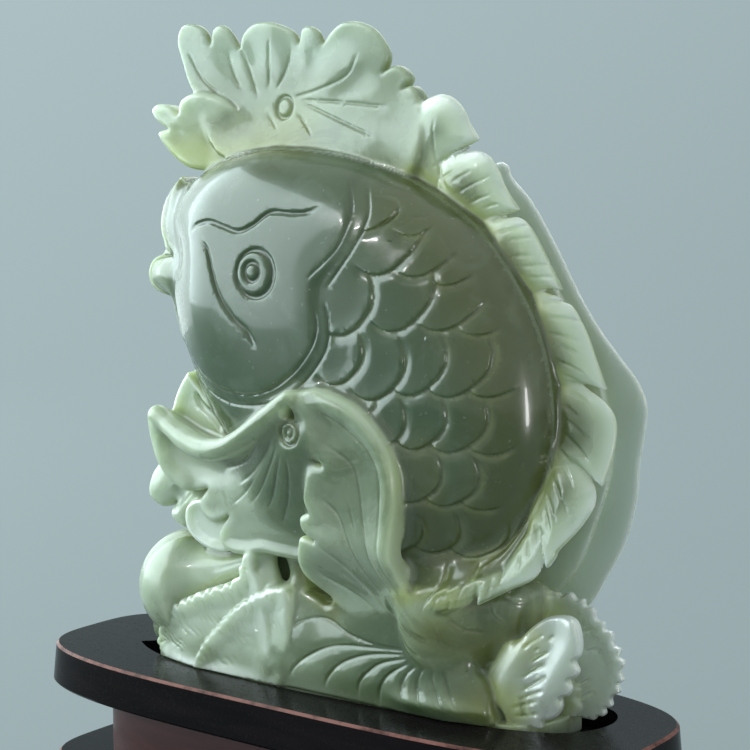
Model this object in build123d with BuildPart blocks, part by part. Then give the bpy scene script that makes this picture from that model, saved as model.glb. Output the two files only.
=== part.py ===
from build123d import *
import math
import os

# Carved jade fish with lotus leaves, standing in a socket on a lacquered wooden stand.
# Millimetres, +Z up, +X along the stand's long axis, -Y towards the viewing side.

# Stand
BOARD_LONG = 253.0
BOARD_DEEP = 87.4
BOARD_POWER = 3.45
BOARD_THICK = 15.0
WAIST_INSET = 19.0
WAIST_POWER = 3.2
WAIST_TALL = 29.0
WAIST_WALL = 12.0
ARRIS = 0.9
SIDE_FLARE = 1.3
FELT_THICK = 1.5
FELT_INSET = 3.0

# Socket and tenon
SOCKET_DEEP = 8.0
LINER_THICK = 1.0
TENON_RISE = 6.0

# Fastenings
DOWEL_R = 3.0
DOWEL_IN_WAIST = 12.0
DOWEL_IN_BOARD = 5.0
SCREW_R = 2.0
SCREW_HEAD_R = 4.0
SCREW_LONG = 28.0
SCREW_SUNK = 1.0

# Stone
BODY_HALF = 31.0
BALL_R = 21.0

FELT_TOP = FELT_THICK
LOWER_TOP = FELT_TOP + BOARD_THICK
WAIST_TOP = LOWER_TOP + WAIST_TALL
PLATE = WAIST_TOP + BOARD_THICK

DOWELS = [(101.0, 0.0), (-101.0, 0.0), (55.0, 18.4), (-55.0, 18.4), (55.0, -18.4), (-55.0, -18.4)]
SCREWS = [(82.0, 15.2), (-82.0, 15.2), (82.0, -15.2), (-82.0, -15.2)]


def superellipse(half_long, half_deep, power, count=48):
    points = []
    for i in range(count):
        turn = 2 * math.pi * i / count
        c = math.cos(turn)
        s = math.sin(turn)
        x = half_long * math.copysign(abs(c) ** (2 / power), c)
        y = half_deep * math.copysign(abs(s) ** (2 / power), s)
        points.append((x, y))
    return points


def board(z_low, thick, inset, power, flare):
    """A rounded board whose side leans out by flare from its top to its bottom."""
    with BuildPart() as slab:
        for rise, grow in ((0.0, flare), (thick, 0.0)):
            with BuildSketch(Plane.XY.offset(z_low + rise)):
                with BuildLine():
                    Spline(
                        *superellipse(
                            BOARD_LONG / 2 - inset + grow, BOARD_DEEP / 2 - inset + grow, power
                        ),
                        periodic=True,
                    )
                make_face()
        loft()
        if flare > 0:
            chamfer(slab.edges().group_by(Axis.Z)[-1], ARRIS)
            chamfer(slab.edges().group_by(Axis.Z)[0], ARRIS)
    return slab.part


def raised(points):
    return [(x, z + PLATE) for x, z in points]


def leaf_slab(points, y_back, y_front, taper=0.0, smooth=False):
    """A slab of stone drawn in the XZ plane, from y_back forward to y_front."""
    with BuildPart() as slab:
        with BuildSketch(Plane.XZ.offset(-y_back)):
            with BuildLine():
                if smooth:
                    Spline(*raised(points), periodic=True)
                else:
                    Polyline(*raised(points), close=True)
            make_face()
        extrude(amount=y_back - y_front, taper=taper)
    return slab.part


# Stand ---------------------------------------------------------------

SOCKET_NEAR = [(-92, -8), (-75, -17), (-50, -22), (0, -24), (50, -21.5), (80, -17.5), (95, -11.5)]
SOCKET_END = [(95, -11.5), (103.5, -1), (105.5, 8), (102, 18), (92, 23)]
SOCKET_FAR = [(92, 23), (50, 24), (0, 23.5), (-50, 17), (-78, 4), (-92, -8)]

TENON_NEAR = [(-80, -9.5), (-62, -17.5), (-40, -20.5), (0, -21.8), (45, -19.8), (74, -16.2), (86, -10)]
TENON_END = [(86, -10), (90, 0), (90, 10), (86, 18)]
TENON_FAR = [(86, 18), (50, 21), (0, 20.5), (-40, 16), (-66, 4), (-80, -9.5)]

with BuildPart() as base_felt:
    with BuildSketch():
        with BuildLine():
            Spline(
                *superellipse(BOARD_LONG / 2 - FELT_INSET, BOARD_DEEP / 2 - FELT_INSET, BOARD_POWER),
                periodic=True,
            )
        make_face()
    extrude(amount=FELT_THICK)

with BuildPart() as lower_board:
    add(board(FELT_TOP, BOARD_THICK, 0.0, BOARD_POWER, SIDE_FLARE))
    with Locations(*[(x, y, FELT_TOP) for x, y in SCREWS]):
        Cylinder(SCREW_R + 0.1, BOARD_THICK, align=(Align.CENTER, Align.CENTER, Align.MIN),
                 mode=Mode.SUBTRACT)
        Cylinder(SCREW_HEAD_R + 0.2, SCREW_SUNK, align=(Align.CENTER, Align.CENTER, Align.MIN),
                 mode=Mode.SUBTRACT)
    with Locations(*[(x, y, FELT_TOP + SCREW_SUNK) for x, y in SCREWS]):
        Cone(SCREW_HEAD_R + 0.1, SCREW_R + 0.1, 2.4, align=(Align.CENTER, Align.CENTER, Align.MIN),
             mode=Mode.SUBTRACT)

with BuildPart() as waist_ring:
    add(board(LOWER_TOP, WAIST_TALL, WAIST_INSET, WAIST_POWER, 0.0))
    with BuildSketch(Plane.XY.offset(LOWER_TOP)):
        with BuildLine():
            Spline(
                *superellipse(
                    BOARD_LONG / 2 - WAIST_INSET - WAIST_WALL,
                    BOARD_DEEP / 2 - WAIST_INSET - WAIST_WALL,
                    WAIST_POWER,
                ),
                periodic=True,
            )
        make_face()
    extrude(amount=WAIST_TALL, mode=Mode.SUBTRACT)
    with Locations(*[(x, y, WAIST_TOP) for x, y in DOWELS]):
        Cylinder(DOWEL_R + 0.05, DOWEL_IN_WAIST, align=(Align.CENTER, Align.CENTER, Align.MAX),
                 mode=Mode.SUBTRACT)
    with Locations(*[(x, y, LOWER_TOP) for x, y in SCREWS]):
        Cylinder(SCREW_R + 0.1, SCREW_LONG - BOARD_THICK + 1.5,
                 align=(Align.CENTER, Align.CENTER, Align.MIN), mode=Mode.SUBTRACT)

with BuildPart() as top_board:
    add(board(WAIST_TOP, BOARD_THICK, 0.0, BOARD_POWER, SIDE_FLARE))
    with BuildSketch(Plane.XY.offset(PLATE - SOCKET_DEEP)):
        with BuildLine():
            Spline(*SOCKET_NEAR)
            Spline(*SOCKET_END)
            Spline(*SOCKET_FAR)
        make_face()
    extrude(amount=SOCKET_DEEP, mode=Mode.SUBTRACT)
    with Locations(*[(x, y, WAIST_TOP) for x, y in DOWELS]):
        Cylinder(DOWEL_R + 0.05, DOWEL_IN_BOARD + 0.4, align=(Align.CENTER, Align.CENTER, Align.MIN),
                 mode=Mode.SUBTRACT)

with BuildPart() as socket_felt:
    with BuildSketch(Plane.XY.offset(PLATE - SOCKET_DEEP)):
        with BuildLine():
            Spline(*TENON_NEAR)
            Spline(*TENON_END)
            Spline(*TENON_FAR)
        make_face()
    extrude(amount=LINER_THICK)

with BuildPart() as top_dowels:
    with Locations(*[(x, y, WAIST_TOP - DOWEL_IN_WAIST) for x, y in DOWELS]):
        Cylinder(DOWEL_R, DOWEL_IN_WAIST + DOWEL_IN_BOARD,
                 align=(Align.CENTER, Align.CENTER, Align.MIN))
    chamfer(top_dowels.edges(), 0.6)

with BuildPart() as base_screws:
    with Locations(*[(x, y, FELT_TOP + SCREW_SUNK) for x, y in SCREWS]):
        Cone(SCREW_HEAD_R, SCREW_R, 2.4, align=(Align.CENTER, Align.CENTER, Align.MIN))
        Cylinder(SCREW_R, SCREW_LONG - 4, align=(Align.CENTER, Align.CENTER, Align.MIN))
    with Locations(*[(x, y, FELT_TOP + SCREW_SUNK + SCREW_LONG - 4) for x, y in SCREWS]):
        Cone(SCREW_R, 0.3, 4, align=(Align.CENTER, Align.CENTER, Align.MIN))
    with Locations(*[(x, y, FELT_TOP + SCREW_SUNK) for x, y in SCREWS]):
        Box(6.4, 1.1, 1.0, align=(Align.CENTER, Align.CENTER, Align.MIN), mode=Mode.SUBTRACT)
        Box(1.1, 6.4, 1.0, align=(Align.CENTER, Align.CENTER, Align.MIN), mode=Mode.SUBTRACT)

# Stone ---------------------------------------------------------------

BODY = [
    (-72, 177), (-54, 183), (-26, 188.5), (1, 187), (30, 180), (50, 170), (66, 157), (80, 138),
    (89, 112), (89, 86), (80, 63), (60, 47), (28, 39), (-5, 50), (-36, 75), (-58, 101), (-73, 127),
    (-78, 145), (-77, 163),
]
BODY_MID = (6, 114)


def body_ring(y):
    """Body outline at depth y, drawn in towards its middle as the flank rounds over."""
    t = min(abs(y) / BODY_HALF, 1.0)
    shrink = 0.16 + 0.84 * (1 - t ** 2.5) ** 0.4
    return [
        (BODY_MID[0] + shrink * (x - BODY_MID[0]), BODY_MID[1] + shrink * (z - BODY_MID[1]))
        for x, z in BODY
    ]


with BuildPart() as fish_body:
    for y in (BODY_HALF, 29.6, 25.5, 16.0, 0.0, -16.0, -25.5, -29.6, -BODY_HALF):
        with BuildSketch(Plane.XZ.offset(-y)):
            with BuildLine():
                Spline(*raised(body_ring(y)), periodic=True)
            make_face()
    loft()

with BuildPart() as lips:
    with Locations((-68, 0, PLATE + 165)):
        Sphere(10)
    with Locations((-74, 0, PLATE + 143)):
        Sphere(10)

with BuildPart() as eyes:
    with Locations(Location((-13, 0, PLATE + 146), (90, 0, 0))):
        Cylinder(9.0, 60.0)
        Cylinder(4.0, 62.0)

FIN_UPPER = [
    (24, 180), (29, 200), (38, 207), (46, 205), (56, 191), (52, 188), (60, 184), (71, 166),
    (67, 165), (75, 161), (86, 142), (82, 142), (91, 136), (103, 111), (98, 112), (105, 103),
    (104, 84), (92, 70), (76, 90), (70, 130), (50, 158),
]
FIN_LOWER = [
    (76, 90), (96, 92), (105, 78), (99, 57), (95, 67), (92, 52), (76, 39), (77, 46), (66, 37),
    (54, 37), (56, 50), (70, 62),
]

with BuildPart() as dorsal_fin:
    add(leaf_slab(FIN_UPPER, 0, -5, taper=30))
    add(leaf_slab(FIN_UPPER, 5, 0))
    add(leaf_slab(FIN_LOWER, 4, -10, taper=12))

BACK_LEAF = [
    (18, 168), (40, 180), (50, 182), (61, 170), (72, 150), (89, 130), (100, 120), (106, 101),
    (103, 68), (95, 49), (85, 32), (60, 26), (35, 40), (20, 90),
]

with BuildPart() as back_leaf:
    add(leaf_slab(BACK_LEAF, 30, 22, taper=4))

TOP_LEAF = [
    (-58, 178), (-70, 185), (-80, 195), (-84, 203), (-80, 206), (-71, 204), (-66, 209), (-72, 219),
    (-75, 230), (-71, 236), (-62, 232), (-54, 235), (-47, 228), (-40, 234), (-30, 235), (-20, 229),
    (-13, 232), (-7, 227), (1, 233), (10, 232), (18, 224), (26, 215), (32, 206), (37, 188),
    (0, 178),
]

with BuildPart() as top_leaf:
    add(leaf_slab(TOP_LEAF, 2, -6, taper=20))
    add(leaf_slab(TOP_LEAF, 9, 2))
    with Locations(Location((-23.5, 0, PLATE + 203.5), (90, 0, 0))):
        Cylinder(3.8, 15.0)

FRONT_LEAF = [
    (-69, 92), (-60, 90), (-44, 86), (-30, 85), (-17, 90), (-6, 98), (4, 105), (12, 100), (14, 82),
    (11, 66), (6, 52), (-4, 46), (-24, 46), (-38, 50), (-47, 60), (-55, 66), (-66, 74), (-70, 83),
]
PETALS = [
    (-59, 107), (-66, 96), (-70, 82), (-77.5, 73), (-84, 61), (-76, 55), (-65, 49), (-45, 44),
    (-36, 46), (-38, 84),
]

with BuildPart() as front_leaf:
    add(leaf_slab(FRONT_LEAF, -16, -37, taper=16))
    add(leaf_slab(PETALS, 2, -18))
    with Locations(Location((5, -34, PLATE + 93), (90, 0, 0))):
        Cylinder(4.2, 7.0)

TAIL_UPPER = [
    (9, 106), (21, 106), (31, 103), (40, 96), (47, 87), (50, 74), (50, 54), (56, 42), (66, 32),
    (72, 14), (50, 8), (20, 26), (6, 40), (3, 46), (9, 58), (11, 72), (17, 83), (10, 98),
]
TAIL_LOWER = [
    (-4, 35), (7, 30), (30, 34), (66, 30), (76, 18), (78, 1), (40, 1), (-22, 1), (-23, 8),
    (-20, 17), (-12, 28),
]

with BuildPart() as tail:
    add(leaf_slab(TAIL_UPPER, -16, -39, taper=10))
    add(leaf_slab(TAIL_LOWER, 6, -23.5, taper=8))

WAVE_LEFT = [
    (-23, 44), (-31, 38), (-44, 29), (-56, 24), (-66, 18), (-71, 10), (-68, 1), (-20, 1), (-10, 20),
]
WAVE_MID = [(-14, 34), (-23, 30), (-34, 21), (-43, 12), (-49, 1), (-10, 1), (0, 30)]
LEAF_RIGHT = [
    (72, 8), (78, 20), (88, 31), (96, 36.5), (103, 34), (103, 24), (99, 14), (94, 1), (74, 1),
]
LEAF_RIGHT_BACK = [(84, 30), (90, 40), (98, 35), (103, 24), (104, 11), (98, 1), (80, 1)]

with BuildPart() as water_leaves:
    add(leaf_slab(WAVE_LEFT, -4, -19, taper=14))
    add(leaf_slab(WAVE_MID, -4, -22.5, taper=12))
    add(leaf_slab(LEAF_RIGHT, -2, -15, taper=12))
    add(leaf_slab(LEAF_RIGHT_BACK, 15, 4))

CORE = [
    (-82, 1), (-86, 12), (-72, 34), (-46, 50), (-20, 66), (20, 62), (60, 52), (82, 40), (90, 26),
    (92, 12), (88, 1),
]

with BuildPart() as core:
    add(leaf_slab(CORE, 0, -14))
    add(leaf_slab(CORE, 20, 0, taper=0))

with BuildPart() as ball:
    with Locations((-68, -3, PLATE + 25)):
        Sphere(BALL_R)

with BuildPart() as tenon:
    with BuildSketch(Plane.XY.offset(PLATE - SOCKET_DEEP + LINER_THICK)):
        with BuildLine():
            Spline(*TENON_NEAR)
            Spline(*TENON_END)
            Spline(*TENON_FAR)
        make_face()
    extrude(amount=SOCKET_DEEP - LINER_THICK + TENON_RISE)

with BuildPart() as jade_carving:
    add(fish_body.part)
    add(lips.part)
    add(eyes.part)
    add(dorsal_fin.part)
    add(back_leaf.part)
    add(top_leaf.part)
    add(front_leaf.part)
    add(tail.part)
    add(water_leaves.part)
    add(core.part)
    add(ball.part)
    add(tenon.part)

# Export --------------------------------------------------------------

jade_carving.part.label = "jade_carving"
top_board.part.label = "top_board"
waist_ring.part.label = "waist_ring"
lower_board.part.label = "lower_board"
socket_felt.part.label = "socket_felt"
top_dowels.part.label = "top_dowels"
base_screws.part.label = "base_screws"
base_felt.part.label = "base_felt"

os.makedirs("parts", exist_ok=True)
export_step(jade_carving.part, "parts/jade_carving.step")
export_step(top_board.part, "parts/top_board.step")
export_step(waist_ring.part, "parts/waist_ring.step")
export_step(lower_board.part, "parts/lower_board.step")
export_step(socket_felt.part, "parts/socket_felt.step")
export_step(top_dowels.part, "parts/top_dowels.step")
export_step(base_screws.part, "parts/base_screws.step")
export_step(base_felt.part, "parts/base_felt.step")
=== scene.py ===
import bpy
import math
import numpy as np
import openvdb
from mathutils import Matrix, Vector


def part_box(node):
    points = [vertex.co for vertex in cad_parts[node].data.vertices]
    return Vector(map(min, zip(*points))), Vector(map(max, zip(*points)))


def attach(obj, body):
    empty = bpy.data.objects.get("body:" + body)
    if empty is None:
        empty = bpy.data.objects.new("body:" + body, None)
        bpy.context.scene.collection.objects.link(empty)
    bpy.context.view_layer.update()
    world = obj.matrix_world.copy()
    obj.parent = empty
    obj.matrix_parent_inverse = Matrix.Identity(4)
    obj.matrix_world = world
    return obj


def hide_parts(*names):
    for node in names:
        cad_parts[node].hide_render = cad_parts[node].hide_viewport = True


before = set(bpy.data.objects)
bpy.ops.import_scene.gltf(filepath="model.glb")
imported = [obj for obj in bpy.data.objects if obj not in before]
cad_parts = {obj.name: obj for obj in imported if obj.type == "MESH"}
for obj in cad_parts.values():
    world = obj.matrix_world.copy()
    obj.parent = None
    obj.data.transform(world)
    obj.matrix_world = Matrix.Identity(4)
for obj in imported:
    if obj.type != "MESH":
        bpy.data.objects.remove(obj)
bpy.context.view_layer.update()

MM = 1000.0  # millimetres in a metre

# The stone is carved here as a distance field, in millimetres, measured from the middle of the
# stand's top face, which is called the plate: x along the stand, y away from the viewer, z up.
board_low, board_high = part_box("top_board")
CENTRE_X = 0.5 * MM * (board_low.x + board_high.x)
CENTRE_Y = 0.5 * MM * (board_low.y + board_high.y)
PLATE = MM * board_high.z
ORIGIN = [CENTRE_X, CENTRE_Y, PLATE]
stone_low, stone_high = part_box("jade_carving")
TENON_LOW = MM * stone_low.z - PLATE

VOX = 0.45
# the block that the stone is cut from, with a little air round it
LOW = np.array([-93.0, -43.0, TENON_LOW - 1.5])
HIGH = np.array([113.0, 37.0, MM * stone_high.z - PLATE + 3.0])
GX = np.arange(LOW[0], HIGH[0], VOX, dtype=np.float32)
GY = np.arange(LOW[1], HIGH[1], VOX, dtype=np.float32)
GZ = np.arange(LOW[2], HIGH[2], VOX, dtype=np.float32)
OUTSIDE = 9.0
field = np.full((len(GX), len(GY), len(GZ)), OUTSIDE, np.float32)
# how deeply coloured the stone is at each place: 0 is milky, 1 is the dark grey green of the fish
tone = np.full(field.shape, 0.8, np.float16)


# Drawing helpers ------------------------------------------------------

def smooth(t):
    """0 up to t = 0, 1 from t = 1 on, and an even curve between."""
    t = np.clip(t, 0.0, 1.0)
    return t * t * (3.0 - 2.0 * t)


def between(v, start, end):
    """0 before start, 1 beyond end, and smooth between them. Either may be the larger one."""
    return smooth((v - start) / (end - start))


def flow(points, closed=False, steps=5):
    """A smooth line through the points. A point given twice is a sharp corner."""
    p = np.array(points, float)
    if closed:
        p = np.vstack([p[-1:], p, p[:2]])
    else:
        p = np.vstack([2 * p[0] - p[1], p, 2 * p[-1] - p[-2]])
    out = []
    for a, b, c, d in zip(p, p[1:], p[2:], p[3:]):
        if np.allclose(b, c):
            continue
        for k in range(steps):
            t = k / steps
            out.append(
                0.5 * (2 * b + (c - a) * t + (2 * a - 5 * b + 4 * c - d) * t * t
                       + (3 * b - a - 3 * c + d) * t ** 3)
            )
    if not closed:
        out.append(p[-2])
    return np.array(out)


def span(axis, low, high):
    """The stretch of a grid axis from low to high."""
    i = int(np.searchsorted(axis, low))
    j = int(np.searchsorted(axis, high))
    return slice(max(i, 0), max(j, i + 1))


def cells(low, high):
    """The grid between two corners: its slices, and its x, y and z."""
    part = [span(axis, a, b) for axis, a, b in zip((GX, GY, GZ), low, high)]
    axes = [axis[s] for axis, s in zip((GX, GY, GZ), part)]
    return part, np.meshgrid(*axes, indexing="ij", sparse=True)


class Patch:
    """A patch of the XZ grid, or of the XY grid across GY, for drawing one feature."""

    def __init__(self, points, margin, across=GZ):
        p = np.array(points, float)
        self.ix = span(GX, p[:, 0].min() - margin, p[:, 0].max() + margin)
        self.iz = span(across, p[:, 1].min() - margin, p[:, 1].max() + margin)
        self.x, self.z = np.meshgrid(GX[self.ix], across[self.iz], indexing="ij")


def outline_distance(w, line):
    """Distance to a closed outline, negative inside."""
    best = np.full(w.x.shape, 1e9, np.float32)
    inside = np.zeros(w.x.shape, bool)
    for a, b in zip(line, np.roll(line, -1, axis=0)):
        ex, ez = b - a
        px = w.x - a[0]
        pz = w.z - a[1]
        t = np.clip((px * ex + pz * ez) / (ex * ex + ez * ez + 1e-9), 0, 1)
        best = np.minimum(best, (px - t * ex) ** 2 + (pz - t * ez) ** 2)
        if a[1] != b[1]:
            cross = (a[1] > w.z) != (b[1] > w.z)
            inside ^= cross & (w.x < ex * (w.z - a[1]) / ez + a[0])
    best = np.sqrt(best)
    return np.where(inside, -best, best)


def line_distance(x, z, line):
    """Distance to an open line, how far along it the nearest point is, and the line's length."""
    best = np.full(x.shape, 1e9, np.float32)
    along = np.zeros(x.shape, np.float32)
    run = 0.0
    for a, b in zip(line[:-1], line[1:]):
        ex, ez = b - a
        length = math.hypot(ex, ez)
        px = x - a[0]
        pz = z - a[1]
        t = np.clip((px * ex + pz * ez) / (length * length + 1e-9), 0, 1)
        d = (px - t * ex) ** 2 + (pz - t * ez) ** 2
        near = d < best
        best = np.where(near, d, best)
        along = np.where(near, run + t * length, along)
        run += length
    return np.sqrt(best), along, run


def away(w, points):
    """Distance to a smooth open line through the points."""
    return line_distance(w.x, w.z, flow(points))[0]


def even(line, gap, closed=True):
    """The same line with its points spaced evenly."""
    p = np.vstack([line, line[:1]]) if closed else line
    run = np.concatenate([[0.0], np.cumsum(np.hypot(*np.diff(p, axis=0).T))])
    at = np.arange(0.0, run[-1], gap)
    return np.stack([np.interp(at, run, p[:, k]) for k in (0, 1)], 1)


def soft_depth(w, line):
    """How deep a point lies inside an outline, with the far sides felt too, so that it has no ridge."""
    gap = 0.8
    total = np.zeros(w.x.shape, np.float32)
    for mx, mz in even(line, gap):
        r2 = (w.x - mx) ** 2 + (w.z - mz) ** 2 + 0.2
        total += gap / (r2 * r2 * np.sqrt(r2))
    return (total * 0.75) ** -0.25


def groove(w, relief, points, depth, width, taper=8.0, sharp=1.0):
    """Cuts a line into relief (millimetres, positive is down), fading out at its ends."""
    line = flow(points, steps=4)
    lo = line.min(0) - 3 * width
    hi = line.max(0) + 3 * width
    i = span(w.x[:, 0], lo[0], hi[0])
    j = span(w.z[0, :], lo[1], hi[1])
    d, s, run = line_distance(w.x[i, j], w.z[i, j], line)
    fade = smooth(np.minimum(s, run - s) / taper + 0.15)
    cut = depth * fade * np.clip(1.0 - (d / width) ** 2, 0.0, 1.0) ** sharp
    relief[i, j] = np.maximum(relief[i, j], cut)


def engrave(w, relief, cuts, depth, width, taper=8.0):
    """Cuts several lines with the same tool."""
    for points in cuts:
        groove(w, relief, points, depth, width, taper)


def rings(w, relief, at, radii, depth, width):
    """Cuts circles round one point."""
    r = np.hypot(w.x - at[0], w.z - at[1])
    for radius in radii:
        cut = depth * np.clip(1.0 - ((r - radius) / width) ** 2, 0.0, 1.0)
        np.maximum(relief, cut, out=relief)


def join(ix, iy, iz, g, blend, stain):
    """Adds a shape to the stone, with a fillet of about blend millimetres where they meet."""
    f = field[ix, iy, iz]
    stain = np.asarray(stain, np.float16)
    if stain.ndim == 2:
        stain = stain[:, None, :]
    tone[ix, iy, iz] = np.where(g < f, stain, tone[ix, iy, iz])
    if blend > 0:
        h = np.maximum(blend - np.abs(f - g), 0.0) / blend
        field[ix, iy, iz] = np.minimum(f, g) - h * h * (0.25 * blend)
    else:
        field[ix, iy, iz] = np.minimum(f, g)


def blank(w):
    """A relief with nothing cut into it yet."""
    return np.zeros(w.x.shape, np.float32)


def sheet(points, margin=6.0, steps=5):
    """A patch round a closed outline, the distance to the outline, and a blank relief."""
    line = flow(points, closed=True, steps=steps)
    w = Patch(line, margin)
    return w, outline_distance(w, line), blank(w)


def slab(w, flat, y_front, y_back, edge, stain, blend=1.2):
    """A carved sheet: flat is its outline distance, and its two faces may be reliefs."""
    margin = 6.0
    yf = np.broadcast_to(np.asarray(y_front, np.float32), w.x.shape)
    yb = np.broadcast_to(np.asarray(y_back, np.float32), w.x.shape)
    near = flat < margin
    iy = span(GY, float(yf[near].min()) - margin, float(yb[near].max()) + margin)
    y = GY[iy][None, :, None]
    a = (flat + edge)[:, None, :].astype(np.float32)
    b = np.maximum(yf[:, None, :] - y, y - yb[:, None, :]) + edge
    g = np.minimum(np.maximum(a, b), 0.0)
    g += np.sqrt(np.maximum(a, 0.0) ** 2 + np.maximum(b, 0.0) ** 2) - edge
    join(w.ix, iy, w.iz, g, blend, stain)


def tube(points, radii, stain, blend):
    """A rounded stem along 3-D points, its radius changing along it."""
    line = flow(points, steps=4)
    rad = np.interp(np.linspace(0, 1, len(line)), np.linspace(0, 1, len(radii)), radii)
    reach = max(radii) + 5.0
    (ix, iy, iz), (x, y, z) = cells(line.min(0) - reach, line.max(0) + reach)
    g = np.full(field[ix, iy, iz].shape, OUTSIDE, np.float32)
    for k in range(len(line) - 1):
        a, b = line[k], line[k + 1]
        e = b - a
        t = ((x - a[0]) * e[0] + (y - a[1]) * e[1] + (z - a[2]) * e[2]) / float(e @ e + 1e-9)
        t = np.clip(t, 0, 1)
        d = np.sqrt((x - a[0] - t * e[0]) ** 2 + (y - a[1] - t * e[1]) ** 2
                    + (z - a[2] - t * e[2]) ** 2)
        g = np.minimum(g, d - (rad[k] + t * (rad[k + 1] - rad[k])))
    join(ix, iy, iz, g, blend, stain)


# The fish --------------------------------------------------------------

FISH = [
    (-71, 179), (-71, 179), (-66, 176.5), (-60, 180), (-52, 183.5), (-40, 187), (-26, 189),
    (-12, 188.5), (1, 187), (14, 184.5), (30, 180), (42, 174.5), (50, 170), (58, 165), (66, 157.5),
    (73, 149), (80, 138.5), (86, 126), (89.5, 112), (90.5, 98), (89, 86), (86, 75), (80, 63),
    (72, 54), (60, 47), (50, 43), (40, 40), (28, 39), (10, 42), (-5, 50), (-22, 62), (-36, 75),
    (-44, 84), (-51, 92), (-58, 101), (-64, 109), (-69, 118), (-73, 127), (-75.5, 134), (-79, 136.5),
    (-83, 139), (-84, 144), (-80.5, 148.5), (-67.5, 150.5), (-67.5, 150.5), (-71.5, 154),
    (-76, 160), (-77.5, 167), (-75.5, 174),
]
# half the fish's greatest width
BODY_HALF = 31.0
# middle and radius of each scale
SCALES = [
    (28, 172, 10), (44, 170, 9.5), (35, 160.5, 12.5), (48.5, 160, 12.3), (59, 155, 10),
    (21.5, 140, 12.5), (42.5, 142.5, 12.5), (59, 143, 12.2), (71, 140, 10.5), (20, 122, 11),
    (34.7, 119.5, 12.5), (49.5, 121.5, 12), (63.5, 121.5, 11.8), (76, 121, 11), (26, 107, 10),
    (36.7, 101, 11), (51.5, 102.7, 10.8), (64, 103, 11.2), (77, 102, 10.5), (49.5, 85, 11),
    (61.5, 84.5, 10.8), (74, 84.5, 11.5), (54, 67, 10.5), (67, 67, 11), (37, 82, 10), (42, 66, 10),
    (50, 50, 9), (60, 53, 9), (30, 92, 9), (5, 128, 9),
]
EYE = (-13.0, 146.0)
# radii of the eye's engraved ring and raised disc, and of the pupil's ring and dome
EYE_RING = 9.3
EYE_DISC = 7.7
PUPIL_RING = 4.3
PUPIL = 3.0
BROW = [(-47, 160), (-43, 162.3), (-36.5, 163.4), (-29.5, 161.8), (-22, 160.2), (-15.5, 162.6),
        (-9, 166.8), (1, 166.5), (7, 167.2), (11, 169)]
CHEEK = [(-40, 157), (-36, 153.5), (-33.5, 147), (-31.5, 141.5), (-28, 135.5), (-22.5, 130),
         (-17, 126.3), (-12.5, 121)]
GILL_IN = [(11, 139), (13, 131), (12.5, 124.5), (9, 118.7), (3.2, 112.8), (-5.6, 107.1),
           (-16.4, 104), (-27.8, 104.2), (-38.8, 106.8), (-49, 111.3), (-56, 119), (-62, 128)]
GILL_OUT = [(16, 138), (18, 130), (17.5, 122.6), (13.2, 115.7), (6, 108.4), (-4.3, 102.6),
            (-16.9, 100.2), (-30.3, 100.4), (-44, 104.5), (-55, 111)]
GILL_UP_IN = [(16, 180), (22.2, 169), (22.4, 161.3), (18.9, 153.6), (9, 144.5)]
GILL_UP_OUT = [(23, 178), (28.1, 169), (28.8, 162.5), (25.2, 153.7), (16.7, 141.5)]
NAPE = [
    [(19, 182), (30, 177), (37, 174.5), (42, 172.5)],
    [(24, 181), (32, 178), (39, 175)],
    [(41, 165.8), (46, 165.3), (50, 167.5)],
    [(31, 162), (36.5, 165), (37.6, 169), (34, 172), (27, 172.5)],
]
GILL_PLATE = [
    (-90, 185), (-40, 196), (10, 196), (21, 176), (25, 162), (20, 150), (14, 142), (15, 130),
    (14, 121), (8, 113), (-4, 105), (-17, 102), (-30, 102.5), (-44, 107), (-60, 116), (-90, 125),
]
JAW_CREASE = [(-69, 148), (-67, 142), (-66.5, 134), (-65, 127), (-61, 120), (-56, 115)]
SNOUT_CREASE = [(-65, 176), (-63.5, 170), (-65, 163), (-67.5, 157)]
# the lips' middle lines on one side, from the cheek to the mouth and from the mouth to the brow
LOWER_LIP = [(-64, 10, 145), (-73, 8, 144), (-79.5, 3, 143), (-79.8, 0, 143)]
UPPER_LIP = [(-64, 9, 152), (-68.5, 7, 155.5), (-71.3, 5, 161), (-71, 3, 166), (-67, 2, 171)]


def scale_relief(w):
    """Overlapping scales, each stepping down to the next; the second mask is the ground crescent of each
    step, which the stone is painted paler along: partly its frosted bevel, partly a painted highlight where
    light catches the bevel.
    """
    relief = blank(w)
    lit_frosted_crescent = blank(w)
    for cx, cz, r in sorted(SCALES, key=lambda s: s[1] - s[0]):
        turn = math.radians(-42.0 - 0.25 * (150.0 - cz))
        u = (w.x - cx) * math.cos(turn) + (w.z - cz) * math.sin(turn)
        v = -(w.x - cx) * math.sin(turn) + (w.z - cz) * math.cos(turn)
        d = (np.abs(u) ** 2.4 + np.abs(v) ** 2.4) ** (1 / 2.4) - r
        free = smooth((u / r + 0.15) / 0.75)
        own = -0.28 * free * np.clip(1.0 + d / 4.0, 0.0, 1.0)
        cover = np.where(d < 0, free + (1.0 - free) * smooth(-d / 5.0), 0.0)
        step = free * np.clip(1.0 - d / 3.6, 0.0, 1.0) ** 1.5 * smooth(d / 0.4) * (d > 0)
        relief = relief * (1.0 - cover) + own * cover + 1.15 * step * (1.0 - 0.5 * smooth(relief))
        crescent = free ** 2 * np.exp(-((d - 0.9) / 0.8) ** 2) * (d > -0.3)
        lit_frosted_crescent = np.maximum(lit_frosted_crescent * (1.0 - cover), crescent)
    return relief, lit_frosted_crescent


def body_half(w, line):
    """Half the fish's width: a fat oval that narrows to the snout."""
    t = np.clip(soft_depth(w, line) / 48.0, 0.0, 1.0)
    half = BODY_HALF * (1.0 - (1.0 - t) ** 2.3) ** (1 / 2.3)
    return half * (0.46 + 0.54 * between(w.x, -90, -36))


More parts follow.
